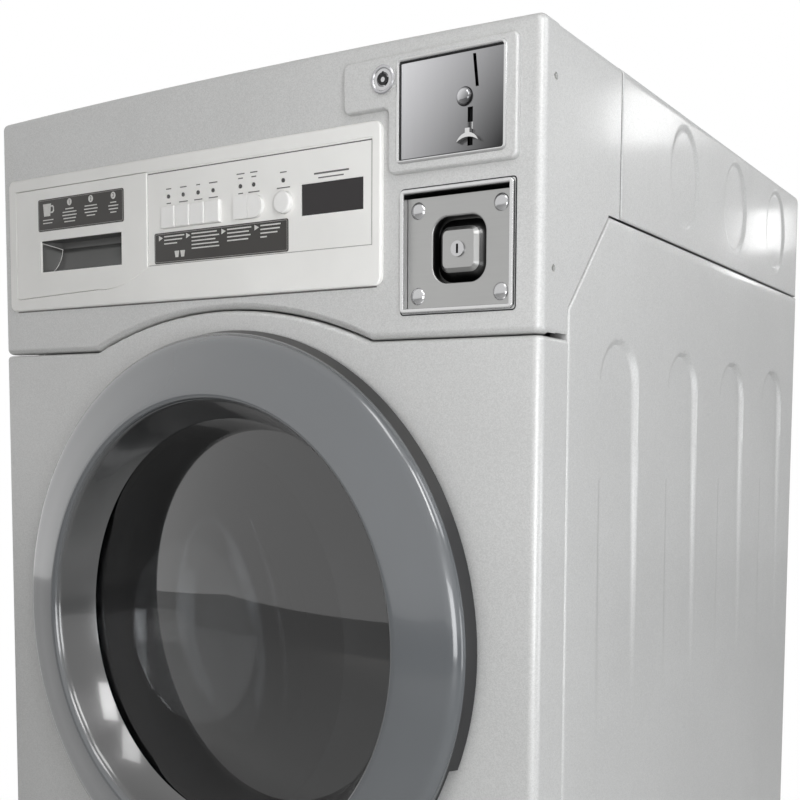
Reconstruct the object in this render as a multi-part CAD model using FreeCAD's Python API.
import FreeCAD, Part
import math
import os

# Coin-operated front-load washer, as an assembly of separate pieces.
# Millimetres. +X is right seen from the front, +Y is towards the back, +Z is up.
# The origin is on the floor, under the middle of the machine's outer box.
# Depths called "behind" or "proud" are measured from the face of the front panel.

V = FreeCAD.Vector

# Two coordinates nearer than this count as the same
same = 1e-3

# Cabinet
cabinet_width = 686.0
cabinet_depth = 730.0
top_crown = 4.0
sheet = 1.2
corner_r = 8.0
panel_gap = 1.5
seam_r = 4.0
flange = 18.0
foot_height = 24.0
rail_height = 40.0
rail_width = 42.0
rail_wall = 2.5
cross_rail_width = 70.0
cover_height = 141.0
front_wrap = 47.0
rear_recess = 20.0
tab_size = 90.0

# Levelling feet
foot_pad_r = 22.0
foot_pad_height = 9.0
foot_stem_r = 6.0
foot_nut_r = 11.0
foot_nut_height = 8.0
foot_inset = 22.0
foot_hole_clearance = 0.3

# Side panel flutes and top cover ovals
flute_count = 4
flute_first = 154.0
flute_pitch = 159.0
flute_width = 84.0
flute_below = 108.0
flute_length = 258.0
flute_depth = 4.0
oval_count = 3
oval_first = 305.0
oval_pitch = 161.0
oval_width = 78.0
oval_height = 103.0
oval_rise = 72.0
oval_depth = 1.5

# Console
console_sheet = 1.8
console_depth = 146.0
console_height = 256.5
console_band = 27.0
console_step = 0.6
console_roll = 6.0
console_return = 14.0
cheek_rise = 25.5
cheek_run = 124.0
arch_x = -9.5
arch_half = 180.0
arch_rise = 35.0
arch_gap = 24.5

# Control fascia, keys and lamps
fascia_margin = 17.0
fascia_gap = 20.0
fascia_lift = 46.5
fascia_height = 141.0
fascia_r = 8.0
fascia_proud = 4.0
fascia_edge = 2.0
field_proud = 2.5
field_margin = 13.0
field_lift = 34.5
field_top = 13.5
key_lift = 36.0
key_height = 21.0
key_width = 19.4
key_split = 0.6
key_fit = 0.35
key_proud = 3.5
key_back = 2.0
key_shoulder = 2.0
cycle_keys = 4
cycle_lead = 98.1
cycle_gap = 21.6
option_lead = 61.4
option_width = 17.8
start_gap = 20.2
start_r = 10.0
lamp_r = 2.0
lamp_lift = 66.7
lamp_leads = (8.6, 28.9, 49.2, 69.3, 104.9, 121.7, 158.2)
lamp_proud = 0.6
display_margin = 20.0
display_width = 71.0
display_lift = 32.5
display_height = 28.0
display_inset = 0.8
board_stand = 11.0
board_sheet = 1.6
board_post_r = 3.0
board_lead = 11.0
board_margin = 12.0

# Detergent drawer and dispenser
drawer_gap = 0.6
drawer_plate = 2.8
drawer_edge = 0.8
drawer_dip = 22.0
swoosh_back = 77.0
swoosh_dip = 18.0
tray_lift = 2.0
tray_height = 79.0
tray_wall = 2.0
tray_depth = 245.0
tray_fit = 0.3
grip_left = 40.5
grip_right = 37.3
grip_height = 33.0
grip_depth = 17.0
grip_wall = 1.5
housing_wall = 2.0

# Coin drop
bezel_width = 177.0
wing_width = 48.5
bezel_right_margin = 21.0
bezel_height = 99.5
wing_height = 43.5
bezel_top = 18.0
bezel_r = 6.0
bezel_proud = 6.0
bezel_edge = 2.4
drop_margin = 12.5
drop_low = 10.0
drop_high = 8.0
drop_sheet = 3.0
drop_inset = 1.5
slot_lean = 3.0
slot_below = 11.7
slot_length = 26.5
slot_in = 41.6
slot_width = 3.0
boss_in = 50.7
boss_below = 44.7
boss_r = 6.8
boss_proud = 2.0
return_in = 45.2
return_length = 25.0
return_below = 53.7
return_slot = 5.0
lever_fit = 0.3
lever_head_r = 10.5
lever_head_low = 3.5
lever_proud = 4.5
lever_height = 7.0
return_stroke = 6.0
lock_in = 45.0
lock_below = 20.0
lock_collar_r = 12.5
lock_plug_r = 9.0
lock_collar_proud = 2.0
lock_fit = 0.05
acceptor_depth = 75.0
acceptor_margin = 6.0

# Coin box and vault
vault_right_margin = 25.0
vault_width = 113.0
vault_lift = 20.5
vault_height = 104.5
vault_rim = 4.0
vault_edge = 1.4
vault_proud = 4.0
vault_wall = 2.0
vault_depth = 205.0
box_fit = 0.4
box_plate = 3.0
box_set = 7.0
box_top_gap = 3.0
box_wall = 2.0
box_tray_height = 60.0
box_end_gap = 8.0
dome_inset = 10.5
dome_r = 7.0
dome_proud = 2.6
recess_width = 53.0
recess_height = 55.0
recess_corner = 15.0
recess_edge = 1.6
recess_depth = 10.0
recess_wall = 1.5
block_width = 38.0
block_height = 38.0
block_r = 8.0
block_proud = 11.0
block_edge = 3.5
key_plug_r = 6.5
key_plug_proud = 1.5
key_plug_tail = 8.0

# Door
drum_x = 5.0
drum_z = 586.0
door_r = 279.0
door_proud = 40.0
rim_proud = 27.0
ring_back = 15.5
ring_wall = 3.0
lip_in = 58.0
lip_half = 3.5
lip_rise = 1.0
throat_in = 80.0
throat_proud = 3.0
frame_over = 3.5
frame_plate = 4.0
frame_wall = 3.5
glass_fit = 0.5
glass_seat = 3.5
glass_rim = 5.5
pane_sheet = 3.0
pane_gap = 0.1
glass_wall = 6.0
bowl_mouth_in = 13.5
bowl_neck_in = 28.5
bowl_neck = 22.0
bowl_end_in = 52.5
bowl_end = 105.0
bowl_floor_in = 76.5
bowl_floor = 128.0
bowl_dome = 6.0
retainer_in = 12.5
retainer_out = 4.0
retainer_lip = 2.0
pull_from = 21.0
pull_to = 62.0
pull_end = 3.0
pull_reach = 29.0
pull_deep = 9.5
pull_wall = 3.0

# Door hinge and latch
hinge_inset = 17.0
hinge_stand = 17.0
hinge_pin_r = 3.0
hinge_eye_r = 5.5
hinge_fit = 0.05
hinge_arm = 5.0
hinge_arm_height = 14.0
hinge_arm_z = 26.0
hinge_reach = 17.0
hinge_knuckle = 12.0
hinge_plate = 2.5
hinge_plate_width = 28.0
hinge_plate_over = 14.0
hinge_gap = 0.3
leaf_sheet = 2.5
leaf_width = 13.0
notch_room = 1.0
latch_in = 36.0
latch_sheet = 5.0
latch_height = 22.0
latch_reach = 26.0
latch_room = 4.5
latch_foot = 30.0
interlock_width = 36.0
interlock_height = 80.0
interlock_depth = 44.0
interlock_wall = 3.0

# Door opening and gasket
opening_in = 64.0
opening_collar = 20.0
gasket_wall = 4.0
gasket_start = 6.0
gasket_lip_in = 37.0
gasket_lip = 32.0
gasket_lip_land = 6.0
gasket_fold_in = 16.0
gasket_fold = 50.0
gasket_fit = 0.3

# Tub, drum and bearings
tub_front_y = 90.0
tub_split = 300.0
tub_wall = 5.5
tub_gap = 32.0
tub_side_gap = 43.5
tub_floor = 8.0
tub_rib = 16.0
tub_rib_sheet = 7.0
tub_ribs = 8
tub_flange = 8.0
tub_mouth_in = 29.0
tub_collar = 6.0
tub_collar_reach = 16.0
drum_sheet = 1.6
drum_start = 105.0
drum_end = 468.0
drum_mouth_in = 8.0
drum_lip = 8.0
lifter_count = 3
lifter_height = 58.0
lifter_width = 78.0
lifter_crest = 26.0
lifter_margin = 14.0
spider_arm = 26.0
spider_depth = 24.0
spider_hub_r = 50.0
spider_in = 16.0
hub_gap = 6.0
hub_length = 82.0
hub_wall = 16.0
bearing_r = 36.0
bearing_width = 17.0
shaft_r = 15.0
shaft_fit = 0.05
drum_pulley_r = 150.0
pulley_width = 16.0
pulley_gap = 8.0
pulley_rim = 14.0
pulley_hub_r = 32.0
pulley_web = 4.0

# Motor and belt
motor_gap = 21.5
motor_r = 70.0
motor_length = 160.0
motor_bracket = 12.0
motor_bracket_width = 90.0
motor_pulley_r = 18.0
motor_shaft_r = 10.0
motor_shaft_grip = 30.0
belt_width = 12.0
belt_thick = 3.0
belt_fit = 0.3

# Suspension
spring_x = 200.0
suspension_behind = 330.0
spring_r = 15.0
spring_wire_r = 2.5
spring_turns = 9
lug_width = 24.0
lug_height = 22.0
brace_gap = 10.5
brace_height = 20.0
brace_width = 44.0
damper_x = 140.0
damper_r = 16.0
damper_height = 125.0
damper_rod_r = 6.0
damper_fit = 0.08
damper_floor = 12.0
damper_overlap = 70.0
weight_gap = 11.0
weight_thick = 30.0
weight_spread = 60.0

# Water
inlet_in = 70.1
inlet_drop = 171.0
inlet_pitch = 50.0
inlet_r = 13.0
port_step = 2.0
inlet_height = 50.0
inlet_depth = 48.0
fill_r = 8.0
fill_wall = 1.5
fill_rise = 15.0
feed_in = 97.4
feed_behind = 200.0
feed_r = 20.0
feed_wall = 3.0
feed_spigot = 20.0
tub_spigot = 45.0
hose_wall = 4.0
hose_fit = 0.3
sump_x = -150.0
sump_behind = 470.0
sump_r = 26.0
pump_width = 110.0
pump_depth = 90.0
pump_height = 62.0
pump_inlet = 34.0
drain_r = 15.0
drain_wall = 2.5
drain_z = 104.0
gland_in = 113.0
gland_drop = 211.0
gland_r = 14.0
gland_bore_r = 6.0
gland_proud = 12.0

# Screws
screw_r = 4.5
screw_head = 2.0
rivet_r = 3.0
rivet_head = 1.0

# Places worked out from the sizes above: the cabinet's main lines
half = cabinet_width / 2
front_y = door_proud - (cabinet_depth + door_proud) / 2
rear_y = front_y + cabinet_depth
seam_z = drum_z + door_r + arch_gap - arch_rise
cabinet_height = seam_z + console_height
side_seam_z = cabinet_height - cover_height
base_top = foot_height + rail_height
side_front = front_y + front_wrap + panel_gap
top_front = front_y + console_depth + panel_gap
side_top = side_seam_z - panel_gap
skin_z0 = foot_height
pan_back = rear_y - sheet
pan_front = pan_back - rear_recess
flute_top_z = side_seam_z - flute_below
flute_bottom_z = flute_top_z - flute_length
oval_z = side_seam_z + oval_rise
cheek_z = seam_z + cheek_rise

# The coin drop and the coin box keep to the right-hand side
bezel_x1 = half - bezel_right_margin
bezel_x0 = bezel_x1 - bezel_width
bezel_step_x = bezel_x0 + wing_width
bezel_z1 = cabinet_height - bezel_top
bezel_z0 = bezel_z1 - bezel_height
bezel_step_z = bezel_z1 - wing_height
slot_x = bezel_x1 - slot_in
slot_top_z = bezel_z1 - slot_below
slot_bottom_z = slot_top_z - slot_length
boss_x = bezel_x1 - boss_in
boss_z = bezel_z1 - boss_below
return_x = bezel_x1 - return_in
return_z1 = bezel_z1 - return_below
return_z0 = return_z1 - return_length
lock_x = bezel_x0 + lock_in
lock_z = bezel_z1 - lock_below
vault_x1 = half - vault_right_margin
vault_x0 = vault_x1 - vault_width
vault_z0 = seam_z + vault_lift
vault_z1 = vault_z0 + vault_height

# The fascia fills the rest: keys and display from the right, the drawer what is left
fascia_x0 = fascia_margin - half
fascia_x1 = vault_x0 - fascia_gap
fascia_z0 = seam_z + fascia_lift
fascia_z1 = fascia_z0 + fascia_height
field_x0 = fascia_x0 + field_margin
field_x1 = fascia_x1 - 0.7 * field_margin
field_z0 = fascia_z0 + field_lift
field_z1 = fascia_z1 - field_top
display_x1 = fascia_x1 - display_margin
display_x0 = display_x1 - display_width
display_z0 = field_z0 + display_lift
start_x = display_x0 - start_gap
option_x = start_x - option_lead
cycle_x = option_x - cycle_lead
key_row_z = field_z0 + key_lift
key_z1 = key_row_z + key_height
lamp_xs = [cycle_x + lead for lead in lamp_leads]
lamp_z = field_z0 + lamp_lift
drawer_right = cycle_x - cycle_gap
board_x0 = drawer_right + board_lead
drawer_low_z = field_z0 - drawer_dip
swoosh_x = drawer_right - swoosh_back
swoosh_z = field_z0 - swoosh_dip
tray_x0 = field_x0 + drawer_gap + housing_wall
tray_x1 = drawer_right - drawer_gap - housing_wall
tray_floor_z = field_z0 + tray_lift
tray_top_z = tray_floor_z + tray_height
tray_start = front_y - fascia_proud + grip_depth + 2 * grip_wall
grip_x0 = field_x0 + grip_left
grip_x1 = drawer_right - grip_right
grip_z0 = tray_floor_z + 2 * grip_wall
grip_z1 = grip_z0 + grip_height

# The door's rings, the opening and the gasket follow the door's radius
lip_r = door_r - lip_in
throat_r = door_r - throat_in
frame_edge_r = door_r + frame_over
glass_rim_r = throat_r + glass_seat
bowl_mouth_r = glass_rim_r - bowl_mouth_in
bowl_neck_r = glass_rim_r - bowl_neck_in
bowl_end_r = glass_rim_r - bowl_end_in
bowl_floor_r = glass_rim_r - bowl_floor_in
retainer_r = glass_rim_r - retainer_in
retainer_out_r = glass_rim_r + retainer_out
pull_r = door_r - pull_reach
latch_r = door_r - latch_in
opening_r = door_r - opening_in
gasket_lip_r = opening_r - gasket_lip_in
gasket_fold_r = opening_r - gasket_fold_in
hinge_x = drum_x - door_r + hinge_inset
hinge_y = front_y - hinge_stand
latch_x = drum_x + latch_r

# The tub fills the cabinet's width, and the drum and the drive hang on the tub
tub_r = half - tub_side_gap
tub_inner_r = tub_r - tub_wall
tub_mouth_r = opening_r - tub_mouth_in
drum_r = tub_inner_r - tub_gap
drum_mouth_r = tub_mouth_r - drum_mouth_in
spider_reach = drum_r - spider_in
tub_back = drum_end + spider_depth + hub_gap + tub_floor
hub_front = drum_end + spider_depth + hub_gap
hub_back = hub_front + hub_length
pulley_front = hub_back + pulley_gap
belt_front = pulley_front + (pulley_width - belt_width) / 2
motor_drop = tub_r + motor_gap + motor_r
motor_z = drum_z - motor_drop
motor_back = pulley_front - pulley_gap
weight_inner_r = opening_r + weight_gap
brace_z0 = drum_z + tub_r + tub_rib + brace_gap
inlet_x = tray_x1 - inlet_in
inlet_z = cabinet_height - inlet_drop
feed_x = tray_x0 + feed_in
gland_x = half - gland_in
gland_z = cabinet_height - gland_drop


def behind(depth):
    """Y of a plane that lies depth behind the front panel's face."""
    return front_y + depth


def box(x0, x1, y0, y1, z0, z1):
    """Box between two corners."""
    return Part.makeBox(x1 - x0, y1 - y0, z1 - z0, V(x0, y0, z0))


def along_x(y, z, r, x0, x1):
    """Round bar along X."""
    return Part.makeCylinder(r, x1 - x0, V(x0, y, z), V(1, 0, 0))


def along_y(x, z, r, y0, y1):
    """Round bar along Y."""
    return Part.makeCylinder(r, y1 - y0, V(x, y0, z), V(0, 1, 0))


def along_z(x, y, r, z0, z1):
    """Round bar along Z."""
    return Part.makeCylinder(r, z1 - z0, V(x, y, z0), V(0, 0, 1))


def tube_y(x, z, outer, inner, y0, y1):
    """Round tube along Y."""
    return along_y(x, z, outer, y0, y1).cut(along_y(x, z, inner, y0, y1))


def tube_z(x, y, outer, inner, z0, z1):
    """Round tube along Z."""
    return along_z(x, y, outer, z0, z1).cut(along_z(x, y, inner, z0, z1))


def closed_face(path, place):
    """Face inside a closed path of corners; a pair of points is an arc's middle and end."""
    edges = []
    here = path[0]
    for step in path[1:] + path[:1]:
        if isinstance(step[0], tuple):
            middle, end = step
            edges.append(Part.Arc(place(here), place(middle), place(end)).toShape())
        else:
            end = step
            if end != here:
                edges.append(Part.makeLine(place(here), place(end)))
        here = end
    return Part.Face(Part.Wire(edges))


def plate_y(path, y0, y1):
    """Plate with an outline in X and Z, between two planes across Y."""
    return closed_face(path, lambda p: V(p[0], y0, p[1])).extrude(V(0, y1 - y0, 0))


def plate_x(path, x0, x1):
    """Plate with an outline in Y and Z, between two planes across X."""
    return closed_face(path, lambda p: V(x0, p[0], p[1])).extrude(V(x1 - x0, 0, 0))


def turned(path):
    """Round piece about the drum's axis; the path holds radius and depth behind the front."""
    face = closed_face(path, lambda p: V(drum_x + p[0], behind(p[1]), drum_z))
    return face.revolve(V(drum_x, 0, drum_z), V(0, 1, 0), 360)


def rounded(a0, a1, b0, b1, r):
    """Outline of a rectangle with round corners."""
    s = r * (1 - math.sqrt(0.5))
    return [
        (a0 + r, b0), (a1 - r, b0), ((a1 - s, b0 + s), (a1, b0 + r)),
        (a1, b1 - r), ((a1 - s, b1 - s), (a1 - r, b1)),
        (a0 + r, b1), ((a0 + s, b1 - s), (a0, b1 - r)),
        (a0, b0 + r), ((a0 + s, b0 + s), (a0 + r, b0)),
    ]


def upright_ellipse(y, width, height, x0, x1):
    """Elliptic plate across X at the height of the ovals, taller than it is wide."""
    centre = V(x0, y, oval_z)
    curve = Part.Ellipse(centre + V(0, 0, height / 2), centre + V(0, width / 2, 0), centre)
    return Part.Face(Part.Wire(curve.toShape())).extrude(V(x1 - x0, 0, 0))


def joined(shapes):
    """One solid from pieces that touch."""
    whole = shapes[0]
    for shape in shapes[1:]:
        whole = whole.fuse(shape)
    return whole.removeSplitter()


def edges_where(shape, test):
    """Edges whose ends both pass a test."""
    return [e for e in shape.Edges if all(test(v.Point) for v in e.Vertexes) and len(e.Vertexes) == 2]


def front_edges(shape, y):
    """Edges that lie in one plane across Y."""
    return [e for e in shape.Edges if close_to(e.BoundBox.YMin, y) and close_to(e.BoundBox.YMax, y)]


def edges_inside(shape, y, x0, x1, z0, z1):
    """Edges in one plane across Y that lie within a rectangle."""
    found = []
    for e in front_edges(shape, y):
        b = e.BoundBox
        if b.XMin > x0 - same and b.XMax < x1 + same and b.ZMin > z0 - same and b.ZMax < z1 + same:
            found.append(e)
    return found


def mirrored(shape):
    """The left-hand copy of a right-hand piece."""
    return shape.mirror(V(0, 0, 0), V(1, 0, 0))


def close_to(a, b):
    """True where two coordinates are the same."""
    return abs(a - b) < same


# Cabinet

def base_rail(x0, x1, y0, y1):
    """Channel rail, open below."""
    skirt = box(x0, x1, y0, y1, foot_height, base_top)
    w = rail_wall
    return skirt.cut(box(x0 + w, x1 - w, y0 + w, y1 - w, foot_height, base_top - w))


def foot_places():
    """Centres of the four feet."""
    x = half - sheet - foot_inset
    ys = (behind(corner_r + foot_inset), rear_y - sheet - foot_inset)
    return [(side * x, y) for side in (-1, 1) for y in ys]


def base_frame():
    """Welded rectangle of channel with two cross rails."""
    x = half - sheet
    y0 = behind(corner_r)
    y1 = rear_y - sheet
    rails = [
        base_rail(-x, -x + rail_width, y0, y1),
        base_rail(x - rail_width, x, y0, y1),
        base_rail(-x + rail_width, x - rail_width, y0, y0 + rail_width),
        base_rail(-x + rail_width, x - rail_width, y1 - rail_width, y1),
    ]
    for depth in (suspension_behind, sump_behind):
        y = behind(depth)
        w = cross_rail_width / 2
        rails.append(base_rail(-x + rail_width, x - rail_width, y - w, y + w))
    frame = joined(rails)
    for fx, fy in foot_places():
        frame = frame.cut(along_z(fx, fy, foot_stem_r + foot_hole_clearance, foot_height, base_top + 1))
    return frame


def levelling_feet():
    """Four feet, each with a pad, a stem and a nut under the rail's web."""
    feet = []
    nut_top = base_top - rail_wall
    nut_low = nut_top - foot_nut_height
    for x, y in foot_places():
        pad = Part.makeCone(foot_pad_r, foot_stem_r + 2, foot_pad_height, V(x, y, 0))
        stem = along_z(x, y, foot_stem_r, 0, base_top)
        corners = []
        for k in range(6):
            a = math.radians(60 * k)
            corners.append(V(x + foot_nut_r * math.cos(a), y + foot_nut_r * math.sin(a), nut_low))
        nut = Part.Face(Part.makePolygon(corners + corners[:1])).extrude(V(0, 0, foot_nut_height))
        feet.append(joined([pad, stem, nut]))
    return Part.makeCompound(feet)


def flute(centre, grow, inset):
    """Space of one flute: full depth at its round top, running out to nothing at its foot."""
    half_width = flute_width / 2 + grow
    top = flute_top_z + grow
    shoulder = top - half_width
    outline = [
        (centre - half_width, flute_bottom_z), (centre + half_width, flute_bottom_z),
        (centre + half_width, shoulder), ((centre, top), (centre - half_width, shoulder)),
    ]
    outer = half - inset
    column = plate_x(outline, outer - 2 * flute_depth, outer)
    slope = [(outer, flute_bottom_z), (outer, top), (outer - flute_depth, top)]
    wedge = plate_y(slope, centre - half_width, centre + half_width)
    return column.common(wedge)


def right_side_panel():
    """Folded sheet with flutes, a cut front corner and tabs behind its neighbours."""
    slope_end = behind(cheek_run) + panel_gap
    outline = [
        (side_front, skin_z0), (rear_y, skin_z0), (rear_y, side_top), (slope_end, side_top),
        (side_front, cheek_z - panel_gap),
    ]
    inner = half - sheet
    edge = half - flange
    t = tab_size
    pieces = [
        plate_x(outline, inner, half),
        box(edge, half, side_front, side_front + sheet, base_top, cheek_z - 2 * panel_gap),
        box(edge, half, rear_y - sheet, rear_y, skin_z0, side_top),
        box(edge, half, slope_end, rear_y, side_top - sheet, side_top),
        box(inner - sheet, inner, side_front - t / 3, side_front + sheet, drum_z - t, drum_z + t),
        box(inner - sheet, inner, top_front + t, top_front + 3 * t, side_top - sheet, side_top + t / 6),
    ]
    cheek_inner = half - console_sheet
    y0 = side_front + t / 6
    y1 = y0 + t / 2
    z0 = seam_z - t / 2
    pieces.append(box(cheek_inner - sheet, inner, y0, y1, z0, cheek_z - flange))
    pieces.append(box(cheek_inner - sheet, cheek_inner, y0, y1, z0, cheek_z + t / 2))
    centres = [behind(flute_first + k * flute_pitch) for k in range(flute_count)]
    for centre in centres:
        pieces.append(flute(centre, sheet, sheet))
    panel = joined(pieces)
    for centre in centres:
        panel = panel.cut(flute(centre, 0.0, 0.0))
    return panel


def inlet_places():
    """Centres of the hot and cold inlets."""
    return [(inlet_x - inlet_pitch / 2, inlet_z), (inlet_x + inlet_pitch / 2, inlet_z)]


def rear_panel():
    """Shallow pan between the side panels, with holes for the water, drain and cord fittings."""
    x = half - sheet
    top = side_top - sheet
    pan = box(-x, x, pan_front, pan_back, base_top, top)
    pan = pan.cut(box(-x + sheet, x - sheet, pan_front + sheet, pan_back, base_top + sheet, top - sheet))
    for hx, hz in inlet_places():
        pan = pan.cut(along_y(hx, hz, inlet_r - port_step, pan_front - 1, pan_back))
    pan = pan.cut(along_y(sump_x, drain_z, drain_r - port_step, pan_front - 1, pan_back))
    return pan.cut(along_y(gland_x, gland_z, gland_r - 3, pan_front - 1, pan_back))


def front_blank(inset, y0, y1):
    """Block of the front panel's outline with round front corners."""
    x = half - inset
    low = skin_z0 - inset
    top = seam_z - panel_gap - inset
    rise = arch_rise
    outline = [
        (-x, low), (x, low), (x, top), (arch_x + arch_half, top),
        ((arch_x, top + rise), (arch_x - arch_half, top)), (-x, top),
    ]
    block = plate_y(outline, y0, y1)
    corners = edges_where(block, lambda p: close_to(abs(p.x), x) and close_to(p.y, y0))
    block = block.makeFillet(corner_r - inset, corners)
    brow = edges_where(block, lambda p: close_to(p.y, y0) and close_to(p.z, top))
    return block.makeFillet(seam_r - inset, brow)


def front_panel():
    """Folded front sheet with the arched top, the collared door opening and the latch slot."""
    panel = front_blank(0.0, front_y, behind(front_wrap))
    panel = panel.cut(front_blank(sheet, behind(sheet), behind(front_wrap) + 1))
    collar_in = opening_r - sheet
    panel = panel.cut(along_y(drum_x, drum_z, collar_in, front_y - 1, behind(front_wrap)))
    panel = joined([panel, tube_y(drum_x, drum_z, opening_r, collar_in, front_y, behind(opening_collar))])
    w = latch_sheet / 2 + latch_room
    h = latch_height / 2 + latch_room
    return panel.cut(box(latch_x - w, latch_x + w, front_y - 1, behind(2 * sheet), drum_z - h, drum_z + h))


def console_blank(inset, y0, y1):
    """Block of the console's outline, with its front and top edges rounded."""
    x = half - inset
    low = seam_z + inset
    rise = arch_rise
    top = cabinet_height - inset
    outline = [
        (-x, low), (arch_x - arch_half, low), ((arch_x, low + rise), (arch_x + arch_half, low)), (x, low),
        (x, top - top_crown), ((0.0, top), (-x, top - top_crown)),
    ]
    block = plate_y(outline, y0, y1)
    upright = edges_where(block, lambda p: close_to(abs(p.x), x) and close_to(p.y, y0))
    crest = edges_where(block, lambda p: close_to(p.z, top - top_crown))
    crest = [e for e in crest if not close_to(e.Vertexes[0].Point.y + e.Vertexes[1].Point.y, 2 * y1)]
    block = block.makeFillet(corner_r - inset, upright + crest)
    foot = edges_where(block, lambda p: close_to(p.y, y0) and close_to(p.z, low))
    return block.makeFillet(console_roll - inset, foot)


def console_shell():
    """Shell of the console: front rolled under at its foot, top and cheeks, and a proud front band."""
    back = behind(console_depth)
    outer = console_blank(0.0, front_y, back)
    stepped = console_blank(console_step, behind(console_step), back)
    band = outer.common(box(-half, half, front_y, behind(console_band), seam_z, cabinet_height))
    rest = stepped.common(box(-half, half, behind(console_band), back, seam_z, cabinet_height))
    shell = joined([band, rest]).cut(console_blank(console_sheet, behind(console_sheet), back + 1))
    x = half - console_sheet
    under = seam_z - 1
    shell = shell.cut(box(-x, x, behind(console_return), back, under, seam_z + 2 * arch_rise))
    below = [
        (behind(front_wrap), under), (behind(front_wrap), cheek_z), (behind(cheek_run), side_seam_z),
        (back + 1, side_seam_z), (back + 1, under),
    ]
    shell = shell.cut(plate_x(below, -half - 1, half + 1))
    through = behind(2 * console_sheet)
    ease = field_margin / 2
    cuts = [
        box(fascia_x0 + ease, fascia_x1 - ease, front_y - 1, through, fascia_z0 + ease, fascia_z1 - ease),
        box(vault_x0 + vault_rim - vault_wall, vault_x1 - vault_rim + vault_wall, front_y - 1, through,
            vault_z0 + vault_rim - vault_wall, vault_z1 - vault_rim + vault_wall),
        box(bezel_step_x + drop_margin, bezel_x1 - drop_margin, front_y - 1, through,
            bezel_z0 + drop_low, bezel_z1 - drop_high),
        along_y(lock_x, lock_z, lock_plug_r + lock_fit, front_y - 1, through),
    ]
    for cut in cuts:
        shell = shell.cut(cut)
    return shell


def cover_blank(inset, y0, y1):
    """Block of the top cover's outline with round top edges."""
    x = half - inset
    top = cabinet_height - inset
    brow = top - top_crown
    outline = [(-x, side_seam_z), (x, side_seam_z), (x, brow), ((0.0, top), (-x, brow))]
    block = plate_y(outline, y0, y1)
    crest = edges_where(block, lambda p: close_to(abs(p.x), x) and close_to(p.z, brow))
    rear = edges_where(block, lambda p: close_to(p.z, brow) and close_to(p.y, y1))
    return block.makeFillet(corner_r - inset, crest + rear)


def top_cover():
    """Folded cover: top, rear and both upper sides, with oval stampings on the sides."""
    cover = cover_blank(0.0, top_front, rear_y)
    cover = cover.cut(cover_blank(sheet, top_front - 1, rear_y - sheet))
    for k in range(oval_count):
        y = behind(oval_first + k * oval_pitch)
        for side in (-1, 1):
            skin_x = side * (half - sheet)
            back_x = skin_x - side * oval_depth
            floor_x = side * (half - oval_depth)
            pad = upright_ellipse(y, oval_width + 2 * sheet, oval_height + 2 * sheet, back_x, skin_x)
            cover = cover.fuse(pad).cut(upright_ellipse(y, oval_width, oval_height, floor_x, side * half))
    return cover.removeSplitter()


# Console fittings

def drawer_outline(grow):
    """Drawer front: straight top and sides, with a foot that sweeps down to the left."""
    x0 = field_x0 - grow
    x1 = drawer_right + grow
    knee = ((swoosh_x + 2 * drawer_right) / 3, (2 * swoosh_z + field_z0) / 3 - grow)
    return [
        (x0, drawer_low_z - grow), (swoosh_x, swoosh_z - grow), (knee, (x1, field_z0 - grow)),
        (x1, field_z1 + grow), (x0, field_z1 + grow),
    ]


def cycle_span(index):
    """Left and right edge of a cycle key."""
    x0 = cycle_x + index * (key_width + key_split)
    return x0, x0 + key_width


def option_span(index):
    """Left and right edge of an option key."""
    x0 = option_x + index * (option_width + key_split)
    return x0, x0 + option_width


def control_fascia():
    """White fascia with a raised border, the drawer's pocket and openings for keys, lamps and display."""
    y0 = front_y - fascia_proud
    plate = plate_y(rounded(fascia_x0, fascia_x1, fascia_z0, fascia_z1, fascia_r), y0, front_y)
    plate = plate.makeFillet(fascia_edge, front_edges(plate, y0))
    plate = plate.cut(box(drawer_right, field_x1, y0, front_y - field_proud, field_z0, field_z1))
    plate = plate.cut(plate_y(drawer_outline(drawer_gap), y0 - 1, y0 + drawer_plate + drawer_gap))
    z0 = key_row_z - key_fit
    z1 = key_z1 + key_fit
    t = tray_fit
    plate = plate.cut(box(tray_x0 - t, tray_x1 + t, y0, front_y, tray_floor_z - t, field_z1))
    first = cycle_span(0)[0] - key_fit
    last = cycle_span(cycle_keys - 1)[1] + key_fit
    plate = plate.cut(box(first, last, y0, front_y, z0, z1))
    plate = plate.cut(option_island(key_fit, y0, front_y))
    plate = plate.cut(along_y(start_x, (key_row_z + key_z1) / 2, start_r + key_fit, y0, front_y))
    plate = plate.cut(box(display_x0, display_x1, y0, front_y, display_z0, display_z0 + display_height))
    for x in lamp_xs:
        plate = plate.cut(along_y(x, lamp_z, lamp_r, y0, front_y))
    return plate


def option_island(grow, y0, y1):
    """Block of the two option keys together, with a round right-hand end."""
    x0 = option_span(0)[0] - grow
    x1 = option_span(1)[1] + grow
    z0 = key_row_z - grow
    z1 = key_z1 + grow
    bulge = key_height / 2 + grow
    middle = (z0 + z1) / 2
    path = [(x0, z0), (x1 - bulge, z0), ((x1, middle), (x1 - bulge, z1)), (x0, z1)]
    return plate_y(path, y0, y1)


def key_cap(x0, x1):
    """Square key with a shoulder behind the fascia."""
    cap = box(x0, x1, front_y - field_proud - key_proud, front_y + key_fit, key_row_z, key_z1)
    edges = edges_where(cap, lambda p: close_to(p.y, front_y - field_proud - key_proud))
    cap = cap.makeFillet(key_proud / 3, edges)
    y0 = front_y + key_fit
    shoulder = box(x0, x1, y0, y0 + key_back, key_row_z - key_shoulder, key_z1 + key_shoulder)
    return joined([cap, shoulder])


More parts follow.
